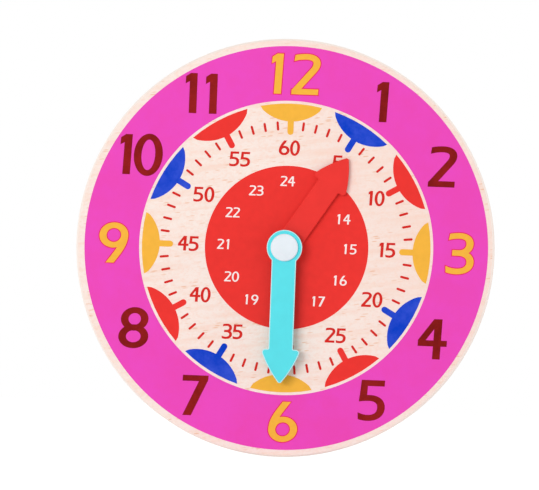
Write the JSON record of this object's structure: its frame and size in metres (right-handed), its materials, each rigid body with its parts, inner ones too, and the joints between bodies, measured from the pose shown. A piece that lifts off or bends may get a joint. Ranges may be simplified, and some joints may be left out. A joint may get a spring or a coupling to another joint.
{
  "type": "geared teaching clock",
  "caption": "Round wooden board clock for learning the time, with plastic arrow hands and a toothed train in its back that drives the hour hand from the minute hand.",
  "frame": {"origin": "the point on the board's flat back where the hands' axis meets it", "axes": "+Z towards 12 o'clock, +X towards 3 o'clock, -Y out of the dial, +Y out of the flat back"},
  "size_m": [0.204, 0.022, 0.204],
  "materials": {
    "beech_plywood": "pale beech plywood, sanded, printed on the dial side",
    "turquoise_plastic": "satin moulded",
    "red_plastic": "satin moulded",
    "white_plastic": "satin moulded",
    "cover_plastic": "fine grained",
    "gear_acetal": "natural acetal",
    "nylon": "natural nylon",
    "brass": "turned",
    "bright_steel": "turned",
    "zinc_plated_steel": "zinc plated",
    "pink_ink": "screen-printed ink",
    "yellow_ink": "screen-printed ink",
    "red_ink": "screen-printed ink",
    "blue_ink": "screen-printed ink",
    "maroon_ink": "screen-printed ink",
    "white_ink": "screen-printed ink"
  },
  "bodies": {
    "board": {"clock_board": "beech_plywood", "gear_plate": "zinc_plated_steel", "plate_screws": "zinc_plated_steel", "gear_cover": "cover_plastic", "cover_screws": "zinc_plated_steel", "centre_bush": "brass", "idler_stud": "bright_steel", "stud_clip": "bright_steel", "friction_spring": "bright_steel", "thrust_washer": "nylon"},
    "minute_hand": {"minute_arbor": "bright_steel", "centre_pinion": "gear_acetal", "hand_spacer": "nylon", "minute_hand": "turquoise_plastic", "hub_cap": "white_plastic"},
    "minute_wheel": {"minute_wheel": "gear_acetal", "minute_pinion": "gear_acetal"},
    "hour_wheel": {"hour_wheel": "gear_acetal", "hour_pipe": "brass"},
    "hour_hand": {"hour_hand": "red_plastic", "hour_collet": "brass"}
  },
  "joints": [
    {"name": "minute_hand_turn", "type": "hinge", "parent": "board", "child": "minute_hand", "pos_m": [0, 0, 0], "axis": [0, 1, 0], "continuous": true},
    {"name": "minute_wheel_turn", "type": "hinge", "parent": "board", "child": "minute_wheel", "pos_m": [0, 0, -0.024], "axis": [0, 1, 0], "continuous": true},
    {"name": "hour_wheel_turn", "type": "hinge", "parent": "board", "child": "hour_wheel", "pos_m": [0, 0, 0], "axis": [0, 1, 0], "continuous": true},
    {"name": "hour_hand_slip", "type": "hinge", "parent": "hour_wheel", "child": "hour_hand", "pos_m": [0, 0, 0], "axis": [0, 1, 0], "continuous": true}
  ],
  "couplings": [
    {"joint": "minute_wheel_turn", "follows": "minute_hand_turn", "ratio": -0.33333},
    {"joint": "hour_wheel_turn", "follows": "minute_hand_turn", "ratio": 0.083333}
  ]
}
